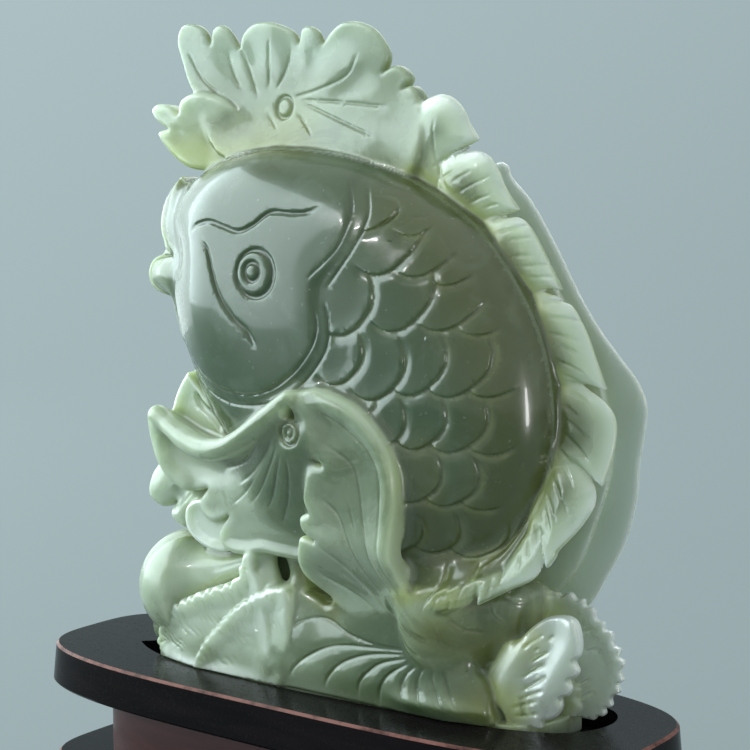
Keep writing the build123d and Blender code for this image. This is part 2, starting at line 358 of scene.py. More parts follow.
def head_relief(w):
    """The cuts of the head and the gill, and the eye."""
    relief = blank(w)
    engrave(w, relief, (BROW, CHEEK), 0.9, 1.1)
    engrave(w, relief, (GILL_IN, GILL_OUT, GILL_UP_IN, GILL_UP_OUT), 0.5, 0.7)
    engrave(w, relief, NAPE, 0.45, 0.7)
    groove(w, relief, JAW_CREASE, 1.4, 4.0, taper=14, sharp=1.5)
    groove(w, relief, SNOUT_CREASE, 0.4, 5.5, taper=14, sharp=1.5)

    ring = np.hypot(w.x - EYE[0], w.z - EYE[1])
    disc = np.hypot(w.x - EYE[0] + 0.8, w.z - EYE[1])
    pupil = np.hypot(w.x - EYE[0] + 1.6, w.z - EYE[1] - 0.6)
    relief = np.where(ring < EYE_RING, 0.9 * smooth((EYE_RING - ring) / 0.8), relief)
    relief -= 1.15 * smooth((EYE_DISC - disc) / 1.1)
    relief += 0.95 * smooth((PUPIL_RING - pupil) / 0.7)
    relief -= 1.1 * smooth((PUPIL - pupil) / 1.3)
    return relief


def carve_fish():
    line = flow(FISH, closed=True)
    w = Patch(line, 8.0)
    flat = outline_distance(w, line)
    half = body_half(w, line)
    relief = head_relief(w)
    gill = outline_distance(w, flow(GILL_PLATE, closed=True, steps=3))
    relief -= 1.0 * smooth(-gill / 4.0)
    scales, lit_frosted_crescent = scale_relief(w)
    scaled = smooth((gill - 2.0) / 4.0) * smooth((-flat - 5.0) / 5.0)
    relief += scales * scaled
    # paler along the scales' crescents: partly frosted bevels, partly a painted highlight on them
    stain = (1.0 - 0.5 * smooth((-60.0 - w.x) / 20.0)) * (1.0 - 0.95 * lit_frosted_crescent * scaled)

    # both sides of the body, their distance corrected for how steeply they slope
    face = half - relief
    gx, gz = np.gradient(half, VOX)
    slope = np.sqrt(1.0 + np.minimum(gx ** 2 + gz ** 2, 9.0)).astype(np.float32)
    iy = span(GY, -BODY_HALF - 5, BODY_HALF + 5)
    y = np.abs(GY[iy])[None, :, None]
    g = (y - face[:, None, :]) / slope[:, None, :]
    g = np.maximum(g, flat[:, None, :])
    join(w.ix, iy, w.iz, g.astype(np.float32), blend=0.0, stain=stain)

    for side in (-1.0, 1.0):
        lower = [(x, side * y, z) for x, y, z in LOWER_LIP]
        upper = [(x, side * y, z) for x, y, z in UPPER_LIP]
        tube(lower, (2.5, 4.3, 4.8, 4.8), stain=0.6, blend=7.0)
        tube(upper, (3.0, 4.2, 4.6, 4.2, 3.0), stain=0.65, blend=9.0)


# Dorsal fin ------------------------------------------------------------

# the line where the fin leaves the back, from the nape to the tail
FIN_BASE = [
    (34, 180), (45, 174), (55, 167), (63, 159.5), (70, 151.5), (76.5, 142), (83, 132), (87.5, 118),
    (90, 104), (89.5, 91), (87, 79), (83.5, 67.5), (77, 57.5), (68, 50.5), (57, 45), (46, 41),
]
# outline of each lappet, tip given twice
FIN = [
    [(30, 176), (28, 190), (33, 202), (40, 206), (46, 205.5), (51, 201.5), (54, 196), (57.5, 191),
     (57.5, 191), (52, 188), (47, 184), (44, 172)],
    [(40, 172), (41, 184), (48, 188.5), (55, 189), (61, 186), (65, 181), (68, 175), (73, 168),
     (73, 168), (66, 166.5), (60, 163), (56, 157)],
    [(54, 160), (60, 165.5), (68, 168), (74, 166.5), (79, 160.5), (84, 152.5), (89.5, 142.5),
     (89.5, 142.5), (83, 142.5), (78, 139), (74, 132)],
    [(72, 138), (79, 142), (85, 143), (92, 139), (98, 130.5), (102.5, 120), (106, 111),
     (106, 111), (99, 112.5), (92, 110), (84, 106)],
    [(82, 112), (90, 114), (98, 113.5), (105, 109), (109.5, 102), (110, 93), (108, 81),
     (108, 81), (102, 83), (95, 84), (86, 78)],
    [(86, 86), (94, 90), (102, 88), (106.5, 82), (107, 76), (103.5, 68.5), (98, 61.5), (94, 56),
     (94, 56), (91, 61), (89, 64), (86, 62)],
    [(87, 67), (92, 68), (96, 64), (96.5, 58), (91, 51.5), (83, 47), (72.5, 41),
     (72.5, 41), (73, 45), (74, 48), (80, 52)],
    [(73, 49), (79, 51.5), (78.5, 47), (73, 42), (66, 39), (59, 38.5), (55.5, 40),
     (55.5, 40), (57, 42.5), (63, 45)],
    [(62, 45.5), (60, 42), (54, 39.5), (48, 39), (42, 40.6),
     (42, 40.6), (47, 42.5), (54, 44)],
]
# where one lappet's tip lies over the next, from the tip inwards
FIN_STEPS = [
    [(57.5, 191), (52, 188), (41.5, 184.5)], [(73, 168), (68.5, 167), (60, 166)],
    [(89.5, 142.5), (84.5, 143), (79, 143)], [(106, 111), (101.5, 112), (90, 115)],
    [(108, 81), (103.5, 84.5), (94, 91)], [(94, 56), (93, 60.5), (89, 70)],
    [(72.5, 41), (73.5, 45), (75, 50)], [(55.5, 40), (57, 42.5), (60, 46)],
]
FIN_STROKE = [(41.5, 198), (41, 191), (41.8, 185), (43.5, 179.5), (47, 174)]


def fin_strokes(w, relief):
    """Short slanting cuts along the fin, which lean towards the tail."""
    base = even(flow(FIN_BASE), 4.6, closed=False)
    for n in range(1, len(base) - 1):
        along = base[n + 1] - base[n - 1]
        along = along / np.hypot(*along)
        out = np.array([-along[1], along[0]])
        lean = 0.35 + 0.5 * n / len(base)
        way = out + lean * along
        start = base[n] + out * (3.2 + 1.2 * math.sin(2.3 * n))
        reach = 8.5 + 2.5 * math.sin(1.7 * n + 1.0)
        if n > 0.72 * len(base):
            reach = 6.0
        bend = start + 0.5 * reach * way + 0.5 * along
        groove(w, relief, [start, bend, start + reach * way + 1.6 * along], 0.5, 0.65, taper=3.5)
    groove(w, relief, FIN_STROKE, 0.5, 0.7, taper=5)


def fin_middle(w):
    """The fin's middle comes forward as it runs down and under the belly."""
    under = between(w.x, 88, 62) * between(w.z, 62, 48)
    return -20.0 * between(w.z, 105, 35) - 5.5 * under


def carve_fin():
    w = Patch(np.vstack(FIN), 7.0)
    flat = np.full(w.x.shape, 60.0, np.float32)
    for points in FIN:
        flat = np.minimum(flat, outline_distance(w, flow(points, closed=True)))
    relief = blank(w)
    fin_strokes(w, relief)
    for step in FIN_STEPS:
        line = flow(step)
        d, s, run = line_distance(w.x, w.z, line)
        (ax, az), (bx, bz) = line[0], line[-1]
        below = ((bx - ax) * (w.z - az) - (bz - az) * (w.x - ax)) > 0
        fade = smooth((run - s) / (0.7 * run)) * smooth(1.0 - d / 9.0)
        relief += 1.5 * fade * smooth(d / 0.5) * below
        relief -= 0.5 * fade * smooth(d / 0.5) * ~below
    y_mid = fin_middle(w)
    half = 1.3 + 1.7 * smooth(-flat / 7.0) + 2.0 * smooth((-flat - 5.0) / 12.0)
    # paler towards each lappet's outer edge: a painted glow for the bright band that light gives the thin
    # edges
    stain = 0.36 + 0.20 * between(w.z, 150, 90) + 0.45 * smooth((-flat - 4.0) / 9.0)
    slab(w, flat, y_mid - half + relief, y_mid + half - relief, edge=1.5, stain=stain, blend=2.0)


# Thin leaf behind the fin --------------------------------------------------

BACK_LEAF = [
    (22, 168), (36, 176), (44.5, 178.5), (46.5, 182.5), (49.5, 184), (52.5, 182.5), (54, 178.5),
    (61, 171), (69.5, 158), (79.5, 141.5), (88, 129.5), (96.5, 119.5), (103, 112), (106.5, 104),
    (106, 96), (104, 84), (103.5, 72), (100.5, 58), (93.5, 44.5), (85, 32), (70, 22), (48, 26),
    (30, 44), (14, 70), (8, 100), (8, 140),
]
BACK_LAYER = [
    (30, 168), (44, 172), (58, 160), (70, 146), (84, 125), (92, 109), (95, 94), (95, 80), (91, 64),
    (82, 44), (66, 30), (48, 32), (30, 50), (16, 76), (12, 110), (14, 148),
]
BACK_HUB = (44, 96)
# each vein from the hub outwards
BACK_VEINS = [
    [(60, 120), (76, 136)], [(48, 130), (52, 172)], [(72, 104), (98, 112)], [(74, 86), (100, 84)],
    [(68, 72), (90, 52)], [(54, 62), (66, 30)], [(34, 120), (22, 156)], [(28, 84), (14, 78)],
    [(40, 68), (38, 40)], [(66, 116), (86, 126)], [(56, 128), (62, 158)], [(36, 132), (36, 172)],
]


def carve_back_leaf():
    w, flat, relief = sheet(BACK_LEAF, 7.0)
    layer = outline_distance(w, flow(BACK_LAYER, closed=True))
    inner = smooth(-flat / 26.0)
    engrave(w, relief, [[BACK_HUB, *vein] for vein in BACK_VEINS], 0.8, 1.1, taper=12)
    rings(w, relief, BACK_HUB, (5.0, 2.0), 0.9, 0.9)
    step = 1.6 * smooth(-layer / 0.9)
    wave = 0.9 * np.sin(w.z * 0.09) * (1 - inner)
    y_mid = 26.5 + wave
    stain = 0.05 + 0.09 * smooth((flat + 1.6) / 0.9)
    y_front = y_mid - 1.2 - step - 3.0 * inner
    slab(w, flat, y_front, y_mid + 1.6 + 4.5 * inner - relief, edge=1.2, stain=stain)


# Lotus leaf on the crown ---------------------------------------------------

CROWN = [
    (-63, 206), (-69, 213.5), (-73, 222), (-75, 229), (-72.5, 234.5), (-66.5, 235), (-61.5, 232.5),
    (-58.5, 227.5), (-58.5, 227.5), (-57.5, 232), (-54, 234), (-50, 232), (-45.5, 225.5),
    (-45.5, 225.5), (-44, 230), (-39, 233.5), (-32, 234), (-26, 232.5), (-21, 230), (-18.5, 226),
    (-18.5, 226), (-17, 230.5), (-13, 231.5), (-9.5, 229.5), (-7.5, 225.5), (-7.5, 225.5),
    (-4, 229), (1, 232), (7.5, 232), (13.5, 229.5), (18, 224.5), (20, 219.5), (18, 214.5),
    (18, 214.5), (22.5, 216.5), (26, 215.5), (28.5, 212), (26.5, 208.8), (26.5, 208.8), (30, 209.5),
    (33, 206), (35.5, 200), (37, 188), (30, 178), (0, 182), (-30, 184), (-52, 188),
]
CROWN_HUB = (-23.5, 203.5)
# notches of the edge that a fold runs in from
CROWN_NOTCHES = [(-58.5, 227.5), (-45.5, 225.5), (-18.5, 226), (-7.5, 225.5), (18, 214.5)]
CROWN_VEINS = [
    [(-31.5, 228), (-32, 219), (-31, 210)], [(-22, 224), (-24.5, 216), (-28, 209.5)],
    [(8, 221), (3.5, 214), (-8, 209.5), (-20, 207)], [(22, 202.5), (4, 204.5), (-16.5, 206)],
    [(18, 192.5), (3, 198), (-15.5, 205)], [(-51, 225), (-48, 217), (-43, 210)],
    [(-45, 226), (-40, 216), (-35.5, 207)], [(-64, 209.5), (-58, 207), (-51.5, 205.5)],
    [(-31.5, 202), (-28, 198), (-25, 194.5)], [(-18, 202), (-13, 197), (-8.5, 192.5)],
    [(-70, 226), (-62, 215), (-52, 208)],
]
FLAP = [
    (-50, 183), (-58, 181.5), (-66, 182.5), (-73, 186.5), (-78.5, 191.5), (-81, 195.5),
    (-76, 196.8), (-76, 196.8), (-81, 199.5), (-84, 203.5), (-81.5, 206), (-75.5, 205.5),
    (-70.8, 202.5), (-70.8, 202.5), (-69.5, 207), (-64, 209.5), (-57, 209), (-50, 206.5),
    (-42, 201), (-35, 194), (-34, 187),
]
CROWN_FOLD = [(-52, 202), (-46, 200.5), (-40, 197), (-37, 193)]


def carve_crown():
    w, flat, relief = sheet(CROWN, 7.0, steps=4)
    engrave(w, relief, CROWN_VEINS, 0.55, 0.7, taper=6)
    hx, hz = CROWN_HUB
    r = np.hypot(w.x - hx, w.z - hz)
    turn = np.arctan2(w.z - hz, w.x - hx)
    folds = blank(w)
    for notch in CROWN_NOTCHES:
        mx, mz = 0.45 * notch[0] + 0.55 * hx, 0.45 * notch[1] + 0.55 * hz
        groove(w, folds, [notch, (mx, mz)], 0.9, 5.5, taper=14)
    folds += 0.3 * np.sin(turn * 9.0 + 0.8) * smooth((r - 8.0) / 22.0)
    knot = np.hypot(0.93 * (w.x - hx), 0.86 * (w.z - hz))
    relief += 0.9 * smooth((4.2 - knot) / 0.7)
    relief -= 1.0 * smooth((3.1 - knot) / 1.2)
    dish = 2.5 * smooth((r - 6.0) / 40.0)
    y_mid = 2.0 - dish + 3.0 * between(w.x, -10, 30)
    thick = 1.9 + 3.4 * between(w.z, 226, 192) + 3.0 * between(w.z, 200, 184)
    stain = 0.83 - 0.24 * between(w.z, 222, 188)
    y_front = y_mid - thick + relief + folds
    slab(w, flat, y_front, y_mid + thick - 0.6 * relief, edge=1.7, stain=stain, blend=2.0)


def carve_flap():
    w, flat, relief = sheet(FLAP, 7.0, steps=4)
    groove(w, relief, CROWN_FOLD, 1.8, 3.6, taper=7, sharp=1.5)
    for end in ((-76, 197), (-71, 203)):
        groove(w, relief, [end, (0.6 * end[0] - 22, 0.6 * end[1] + 77)], 0.5, 2.2, taper=5)
    hollow = 1.4 * smooth(-flat / 10.0)
    y_mid = -4.0 + 3.0 * between(w.x, -70, -40)
    stain = 0.40 + 0.06 * between(w.x, -82, -56) * between(w.z, 212, 188)
    slab(w, flat, y_mid - 3.5 + hollow + relief, y_mid + 5.0, edge=2.2, stain=stain, blend=2.0)


# Lotus leaf low in front, its petals and its rolled rim ---------------------

FRONT_LEAF = [
    (-69.5, 93), (-63, 91), (-52, 86.5), (-40, 84.5), (-28, 86.5), (-16, 92.5), (-4, 100), (6, 107),
    (12, 104), (15, 92), (14, 80), (12, 68), (8, 56), (2, 47), (-8, 46.5), (-17, 47), (-24, 45.5),
    (-31, 44.5), (-37.5, 46), (-40, 50), (-38, 54), (-34.5, 58), (-34.5, 58), (-40, 55.5),
    (-45, 55), (-49.5, 58), (-49.5, 62.5), (-46, 66.5), (-46, 66.5), (-53, 65), (-60, 66.5),
    (-65.5, 71), (-69.5, 78), (-71, 86),
]
RIM = [(-68.5, -22, 92), (-62, -23, 89), (-52, -25, 85), (-40, -28, 82.5), (-28, -30.5, 84.5),
       (-17, -33, 90), (-6, -35, 97), (5, -36.5, 105)]
EDGE_ROLL = [(-68.5, -22, 92), (-69.5, -21, 86), (-68, -20, 78), (-64, -19.5, 71.5), (-57, -19.5, 67.5)]
STALK_LEFT = [(-21, -17, 51), (-18.5, -18, 41), (-16, -18, 31)]
STALK_RIGHT = [(-9, -13, 50), (-6, -14, 40), (-5, -15, 30)]
KNOT = (5.0, 93.0)
LEAF_VEINS = [
    [(-46, 79.5), (-35, 81), (-25, 84), (-14.5, 89.5), (-6, 94)],
    [(-38, 74.5), (-22.5, 79.5), (-13.5, 86), (-6, 92)], [(-27.5, 70.5), (-18, 76.5), (-9, 84), (-3, 90.5)],
    [(-21.5, 64), (-14.5, 70.5), (-7, 79.5), (-1, 88)], [(-12.5, 63), (-8, 70), (-3, 79), (1, 86)],
    [(-7, 58), (-1.5, 68.5), (2, 78), (3.5, 86)], [(-33, 62), (-24, 68), (-16, 75)],
]
PETAL_HIGH = [
    (-59.5, 108), (-59.5, 108), (-63.5, 102.5), (-66.5, 96), (-67, 89), (-60, 84), (-48, 81),
    (-38, 84), (-43.5, 92), (-51, 100),
]
PETAL_LOW = [
    (-77.5, 73), (-82, 67.5), (-84, 61), (-82, 57), (-76, 55), (-69.5, 58), (-69.5, 58), (-72.5, 54),
    (-71, 50.5), (-65, 48.5), (-60, 51), (-50, 55), (-48, 66), (-54, 78), (-64, 82), (-72, 80),
]
PETAL_MID = [(-58, 58), (-58, 51), (-53, 46), (-45, 43.5), (-37, 45), (-33, 58), (-42, 62), (-52, 62)]


def carve_petals():
    w, flat, cut = sheet(PETAL_HIGH)
    groove(w, cut, [(-56, 101), (-53.5, 96.5), (-47.5, 92.5), (-41.5, 87)], 1.6, 2.0, taper=4)
    slab(w, flat, -16.0 + 1.4 * smooth(-flat / 7.0) + cut, -9.0, edge=1.6, stain=0.30)

    w, flat, cut = sheet(PETAL_LOW)
    groove(w, cut, [(-69.5, 58), (-60, 66), (-54, 76)], 2.4, 4.5)
    bulge = 2.2 * smooth(-flat / 8.0)
    y_front = -12.5 - bulge + cut - 2.5 * between(w.x, -74, -50)
    slab(w, flat, y_front, -1.0, edge=3.2, stain=0.30, blend=2.0)

    w, flat, _ = sheet(PETAL_MID)
    slab(w, flat, -19.5 + 1.2 * smooth(-flat / 5.0), -8.0, edge=2.0, stain=0.2)


def carve_front_leaf():
    w, flat, relief = sheet(FRONT_LEAF, 7.0, steps=4)
    pleat = blank(w)
    engrave(w, relief, LEAF_VEINS, 0.5, 0.7)
    engrave(w, pleat, LEAF_VEINS, 0.3, 3.2, taper=10)
    knot = np.hypot(w.x - KNOT[0], w.z - KNOT[1])
    relief = np.where(knot < 6.5, 0.0, relief)
    relief += 1.1 * smooth((5.0 - knot) / 0.8) - 1.3 * smooth((3.7 - knot) / 0.8)
    relief += 0.9 * smooth((2.4 - knot) / 0.6) - 0.9 * smooth((1.5 - knot) / 0.8)
    groove(w, relief, [(4.5, 104), (5, 100), (5, 97)], 3.5, 2.2, taper=2)
    near = np.exp(-((w.x - 4) / 30.0) ** 2 - ((w.z - 94) / 26.0) ** 2)
    y_front = -20.0 - 13.0 * near - 4.5 * between(w.x, -60, -10)
    rise = away(w, [(x, z) for x, y, z in RIM])
    trough = 1.6 * np.exp(-(rise - 8.0) ** 2 / 26.0) * between(w.x, -62, -42)
    lobes = 1.6 * smooth(-flat / 6.0) * between(w.z, 64, 54)
    stain = 0.34 + 0.10 * between(w.x, -60, -12) + 0.20 * between(w.x, -22, 0)
    y_back = y_front + 15.0
    slab(w, flat, y_front + relief + pleat + trough + lobes, y_back, edge=2.2, stain=stain, blend=1.5)
    tube(RIM, (2.2, 3.4, 4.2, 4.2, 3.8, 3.4, 3.4, 2.4), stain=0.52, blend=6.0)
    tube(EDGE_ROLL, (2.2, 2.6, 2.8, 2.4, 1.6), stain=0.34, blend=5.0)
    tube(STALK_LEFT, (3.6, 3.0, 4.2), stain=0.3, blend=4.0)
    tube(STALK_RIGHT, (5.5, 5.0, 5.5), stain=0.5, blend=4.0)


# Tail ------------------------------------------------------------------

TAIL_UPPER = [
    (8, 105), (13, 108), (21, 107), (30, 104), (38, 98.5), (44.3, 91), (47.5, 83), (48, 74),
    (46.5, 62), (45.5, 52), (47, 44), (53, 36), (59, 28), (60, 18), (48, 12), (34, 18), (24, 27),
    (17.5, 32), (9, 37), (4, 41.5), (3.5, 47), (6.5, 54), (9, 58), (14.5, 57), (14.5, 57),
    (9.5, 60), (8.5, 64.5), (12, 66.5), (12, 66.5), (10, 71), (11, 77.5), (13.5, 82), (18, 83.3),
    (18, 83.3), (14, 86.5), (11.3, 92), (9.8, 99),
]
# the outer edge of the upper lobe, which is rolled
TAIL_RIM = [TAIL_UPPER[0], *TAIL_UPPER[2:8], (46, 56)]
TAIL_LOWER = [
    (-2.5, 35.5), (-2.5, 35.5), (4, 33.5), (9, 32), (14, 38), (26, 42), (42, 42), (56, 32), (65, 23.5),
    (68, 17), (72, 12), (74, 7), (73.5, -3), (50, -3), (20, -3), (-8, -3), (-20, -3), (-23, 2),
    (-23.5, 9), (-20.5, 17), (-15.5, 24.5), (-9.5, 31),
]
UPPER_LINES = [
    [(12, 103.5), (22, 99.5), (31, 94.5), (38.5, 88.5), (42, 80), (42, 66), (41, 54), (43.5, 43), (51, 32)],
    [(18.5, 91), (25, 88), (30.5, 84), (33, 76), (34.5, 64), (37, 51), (42, 40), (50, 29)],
    [(17, 73), (24.5, 67), (28, 59), (31, 51), (36, 41), (44, 31), (50, 26)],
    [(15.5, 57), (23, 50.5), (29.5, 43.5), (37, 34), (46, 27)],
    [(11, 45), (20, 41), (30, 35), (40, 28)],
    [(28, 74), (30, 66), (32.5, 57)],
]
LOWER_LINES = [
    [(-6, 21), (-1.5, 24.5), (4.5, 26.5), (11, 26.5), (22, 23), (34, 21.5), (46, 22)],
    [(-5, 4), (-2, 9), (4.5, 14), (12.5, 18), (20, 19.5), (32, 20.5), (46, 21.5)],
    [(10.5, 3), (12.5, 7.5), (16.5, 12), (22.5, 15.5), (32, 18.5), (46, 20.5)],
    [(25, 2), (26, 8), (30, 12.5), (35, 16), (46, 19.5)],
    [(34, 1), (34.5, 7), (38, 12.5), (47, 18.5)],
    [(45, 2), (43.5, 8), (44.5, 13), (50, 18.5)],
    [(53.5, 2), (50, 8.5), (50, 13.5), (53, 18.5)], [(62, 3), (57.5, 9.5), (55.5, 14), (56.5, 18.5)],
    [(67, 4), (62, 9.5), (60, 15), (60, 19)],
]
TAIL_STEM = [
    (42, 40), (52, 42), (64, 41.5), (71, 43), (77, 45), (81, 43), (82, 38), (80, 33), (76.5, 29),
    (72.5, 24), (67, 18), (55, 16), (46, 20), (42, 30),
]
KEEL = [
    (38, 36), (50, 40), (60, 41), (72, 46), (82, 54), (88, 63), (89, 74), (82, 78), (72, 70), (58, 62),
    (44, 60), (38, 50),
]
STEM_SCALES = [
    [(44.5, 34), (48.5, 30), (54.5, 27)], [(43.5, 28.5), (46, 24.5), (52, 21)],
    [(57.5, 32), (58.5, 28), (61.5, 25)], [(60.5, 36), (65.5, 31.5), (71.5, 30.5)],
    [(72.5, 41), (73.5, 36.5), (77.5, 33)], [(75, 43), (79, 40.5), (83, 40)],
]


def carve_stem():
    w, flat, relief = sheet(TAIL_STEM)
    engrave(w, relief, STEM_SCALES, 0.5, 0.75, taper=3)
    engrave(w, relief, UPPER_LINES, 0.4, 0.7, taper=10)
    y_front = -28.0 + 22.0 * between(w.x, 48, 92) + 1.5 * between(w.z, 34, 20)
    slab(w, flat, y_front + relief, 10.0, edge=5.0, stain=0.55, blend=6.0)


def carve_keel():
    """The scaled belly that fills the corner between the fish and the last lappets."""
    w, flat, _ = sheet(KEEL)
    scales, lit_frosted_crescent = scale_relief(w)
    # the keel's scale crescents are painted paler too: frosted bevels and painted highlight
    slab(w, flat, fin_middle(w) + 0.6 + scales, 6.0, edge=3.0, stain=0.95 - 0.7 * lit_frosted_crescent, blend=5.0)


def carve_tail_lower():
    w, flat, relief = sheet(TAIL_LOWER, steps=4)
    pleat = blank(w)
    engrave(w, relief, LOWER_LINES, 0.6, 0.75)
    engrave(w, pleat, LOWER_LINES, 0.3, 3.0, taper=12)
    bulge = 2.2 * smooth(-flat / 14.0)
    foot = 2.0 * np.exp(-((w.z - 5.0) / 3.0) ** 2) * between(w.x, 34, 48)
    y_front = -23.0 - bulge + 2.5 * between(w.z, 4, 30) + 3.5 * between(w.x, 56, 76) - foot
    stain = 0.54 + 0.20 * smooth(w.x / 40.0)
    slab(w, flat, y_front + relief + pleat, 8.0, edge=3.0, stain=stain, blend=1.6)


def carve_tail_upper():
    w, flat, relief = sheet(TAIL_UPPER, 7.0, steps=4)
    pleat = blank(w)
    engrave(w, relief, UPPER_LINES, 0.5, 0.7, taper=12)
    engrave(w, pleat, UPPER_LINES, 0.35, 4.2, taper=16)
    lift = between(w.z, 26, 60)
    y_front = -21.0 - 15.0 * lift + 1.5 * between(w.z, 60, 30) * between(w.x, 20, 0)
    roll = 0.9 * np.exp(-((away(w, TAIL_RIM) - 3.0) / 2.6) ** 2)
    belly = 1.6 * smooth((-flat - 3.0) / 10.0) * lift
    y_back = y_front + 9.0 + 6.0 * (1 - lift)
    slab(w, flat, y_front + belly + relief + pleat - roll, y_back, edge=2.6, stain=0.35, blend=4.0)


# Waves and leaves at the foot ------------------------------------------------

WAVE_BACK = [
    (-26.5, 45), (-21.5, 46.5), (-22, 41), (-18.5, 34), (-14, 14), (-20, -3), (-56, -3), (-66, -1),
    (-72, 2), (-73, 8), (-70, 12.5), (-65, 18.5), (-59, 22.5), (-51, 26.5), (-43, 30), (-36, 32.5),
    (-30.5, 35.5), (-28, 40),
]
BACK_EDGE = [(-27.5, 42), (-30.5, 36), (-36, 32.5), (-43, 30), (-51, 26.5), (-59, 22.5), (-65, 18.5),
             (-70, 12.5), (-73, 7), (-72, 2)]
WAVE_NEAR = [
    (-12, 35), (-16.5, 33), (-23, 30), (-29.5, 26), (-34, 22), (-38.5, 17.5), (-44, 12), (-48, 6.5),
    (-51, 0), (-50, -3), (-30, -3), (-12, -3), (-6, 14), (-6, 34),
]
NEAR_EDGE = [(-14, 34.5), *WAVE_NEAR[2:9]]
LEAF_A = [
    (63, 14.5), (64, 19), (69, 23.5), (75.5, 27), (81, 28.5), (86.5, 34), (91.5, 37.5), (98, 39),
    (102, 37.5), (103.8, 32), (103.5, 27), (101.6, 24.5), (103, 22), (102.2, 19.6), (99.5, 18),
    (100.4, 15.4), (99.6, 13), (96.8, 11.5), (97, 8.6), (95.6, 5.6), (93, 3.6),
    (90, 2.5), (89.5, -3), (78, -3), (77, 3), (73, 7), (67, 9),
]
LEAF_A_CUTS = [
    [(82.5, 16), (87, 19.5), (92, 22.5)], [(82.5, 12), (88, 15.5), (93, 19)],
    [(81, 8.5), (86.5, 11.3), (92, 14)], [(79, 5.5), (84.5, 7.8), (90, 10)],
    [(79.5, 3), (84, 4), (89, 5)], [(84, 26.5), (87.5, 29.5), (91, 32)], [(87, 25.5), (90, 28)],
    [(86, 22), (89.5, 24.5), (93, 27)], [(92, 30), (95, 32.5)], [(66.5, 17), (69.5, 19.5), (73.5, 21)],
]
LEAF_B = [
    (80, 30), (81, 38), (86, 41), (92, 40.5), (96.5, 38), (100.5, 34), (104.5, 30), (107.5, 25),
    (109.3, 19), (108, 13), (105.5, 7.5), (101.5, 2), (97, -2), (86, -3), (80, 8),
]
LEAF_B_EDGE = [(84, 41), *LEAF_B[3:13]]
LEAF_B_CUTS = [
    [(90, 4.5), (95, 7.5), (99, 10)], [(90.5, 9), (94, 11.5), (98, 14)],
    [(94, 22), (98, 23.5), (102, 24)], [(93, 28), (96, 30), (99, 31)],
]
# what stands behind the waves and the tail
CORE = [
    (-80, 1), (-84, 12), (-72, 32), (-48, 48), (-20, 64), (20, 62), (56, 54), (74, 40), (82, 26),
    (86, 12), (86, 1), (60, -2), (-60, -2),
]


def scallops(w, flat, edge_line, pitch, height, points=False):
    """Breaks an outline along edge_line into round lobes, or round bites that leave points."""
    d, s, run = line_distance(w.x, w.z, flow(edge_line, steps=4))
    wave = np.abs(np.sin(np.pi * (s + 0.5 * np.sin(0.6 * s)) / pitch))
    if points:
        wave = np.minimum(1.25 * (1.0 - wave), 0.85)
    near = smooth((4.5 - d) / 3.0) * smooth(np.minimum(s, run - s) / 3.0 + 0.2)
    return flat - height * (wave - 0.5) * near


def ripple(w, edge_line, pitch, depth, slant):
    """Faint broken strokes running in from a wave's edge."""
    d, s = line_distance(w.x, w.z, flow(edge_line))[:2]
    phase = (s + slant * d) / pitch + 0.35 * np.sin(0.55 * d) + 0.5 * np.sin(0.23 * s)
    stroke = (0.5 + 0.5 * np.cos(2 * np.pi * phase)) ** 3
    broken = smooth(0.5 + 0.9 * np.sin(0.42 * s + 0.7 * d) * np.sin(0.31 * d + 0.9))
    return depth * stroke * broken * smooth((d - 1.0) / 2.5) * smooth((17 - d) / 6.0)


def darker_towards_plate(w, stain):
    """The colour darkens towards the plate."""
    return stain + 0.25 * between(w.z, 16, 2)


def carve_core():
    w, flat, _ = sheet(CORE)
    swell = 1.4 * np.sin(0.16 * w.x + 0.22 * w.z) * smooth(-flat / 8.0)
    y_back = 18.0 + swell - 7.0 * between(w.x, 56, 80)
    slab(w, flat, -12.0, y_back, edge=5.0, stain=0.7, blend=3.0)


def carve_foot_leaves():
    w, flat, relief = sheet(LEAF_B)
    flat = scallops(w, flat, LEAF_B_EDGE, 5.0, 1.9, points=True)
    engrave(w, relief, LEAF_B_CUTS, 0.6, 0.8, taper=3)
    bow = 1.0 * smooth(-flat / 9.0)
    slab(w, flat, 6.5 + bow + relief, 10.0 - relief, edge=1.0, stain=0.05, blend=1.0)

    w, flat, relief = sheet(LEAF_A)
    engrave(w, relief, LEAF_A_CUTS, 0.8, 0.75, taper=2.5)
    right = away(w, [(91, 12), (97, 22), (101, 30), (102, 36)])
    left = away(w, [(76, 4), (75.5, 12), (80, 20), (86, 28)])
    folds = 2.2 * np.exp(-(right / 4.5) ** 2) + 2.6 * np.exp(-(left / 5.0) ** 2)
    slab(w, flat, -11.5 - folds + relief, -8.0, edge=1.4, stain=0.0, blend=1.5)


def carve_bud():
    """A closed bud: round at the left, drawn out to the right, with one petal's edge round it."""
    centre = (-68.0, -3.0, 25.0)
    radius = 21.5
    part, (x, y, z) = cells((-96, -31, -1), (-22, 25, 54))
    x = x - centre[0]
    y = y - centre[1]
    z = z - centre[2]
    neck = np.clip((x - 2.0) / 34.0, 0, 1)
    rise = 15.0 * neck
    y = y + 8.0 * neck
    g = np.sqrt(x * x * (1 - 0.5 * neck) ** 2 + y * y * (1 + 1.2 * neck) ** 2
                + (z - rise) ** 2 * (1 + 1.5 * neck) ** 2) - radius
    turn = np.arctan2(y, z - rise)
    g = g + 0.5 * smooth((x - 12.0) / 14.0) * (0.5 + 0.5 * np.cos(turn * 11.0 + 0.08 * x)) ** 2
    length = np.sqrt(x * x + y * y + z * z) + 1e-6
    facing = (0.62 * x - 0.77 * y + 0.12 * z) / length
    lip = np.arccos(np.clip(facing, -1, 1)) - 1.12
    g = g + 0.9 * smooth(lip / 0.06) * smooth((0.6 - lip) / 0.5) * smooth(-x / 6.0 + 1.0)
    join(*part, g.astype(np.float32), blend=1.5, stain=0.05)


